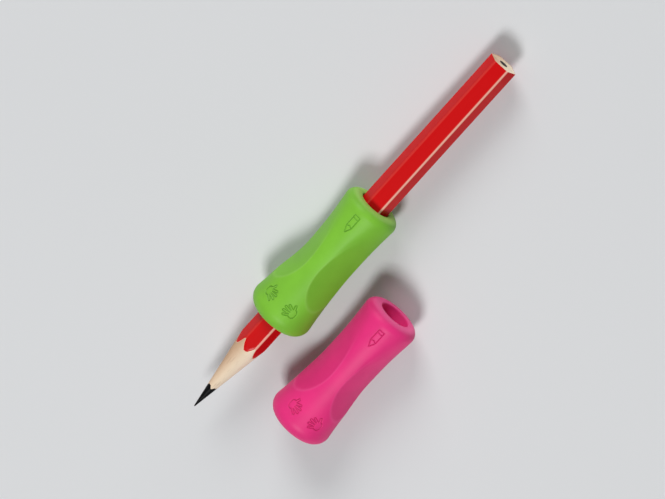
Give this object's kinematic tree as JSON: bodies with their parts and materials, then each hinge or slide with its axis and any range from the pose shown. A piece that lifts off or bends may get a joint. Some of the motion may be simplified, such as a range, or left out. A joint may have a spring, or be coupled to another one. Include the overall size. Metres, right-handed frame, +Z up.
{
  "type": "pencil grip",
  "caption": "Soft waisted pencil grip with finger scoops, fitted on a sharpened hexagonal pencil that slides through its bore, with a loose spare grip lying beside it.",
  "frame": {"origin": "on the table, under the middle of the whole set's box", "axes": "+X along the pencil from its point to its tail, +Y from the spare grip to the pencil, +Z up; both grips lie on the rounds of their two ends, so their axes fall 1.6 degrees towards +X"},
  "size_m": [0.12, 0.039, 0.0171],
  "materials": {
    "green_rubber": "soft satin",
    "pink_rubber": "soft satin",
    "cedar": "bare, knife cut",
    "graphite": "fired graphite",
    "red_lacquer": "gloss"
  },
  "bodies": {
    "fitted_grip": {"green_grip": "green_rubber"},
    "pencil": {"upper_slat": "cedar", "lower_slat": "cedar", "graphite_lead": "graphite", "lacquer_coat": "red_lacquer"},
    "spare_grip": {"pink_grip": "pink_rubber"}
  },
  "joints": [
    {"name": "pencil_slide", "type": "slide", "parent": "fitted_grip", "child": "pencil", "axis": [0.9996, 0, -0.0272], "range_m": [-0.0483, 0.0767]},
    {"name": "spare_lift", "type": "slide", "parent": "fitted_grip", "child": "spare_grip", "axis": [0, 0, 1], "range_m": [0, 0.05]}
  ]
}
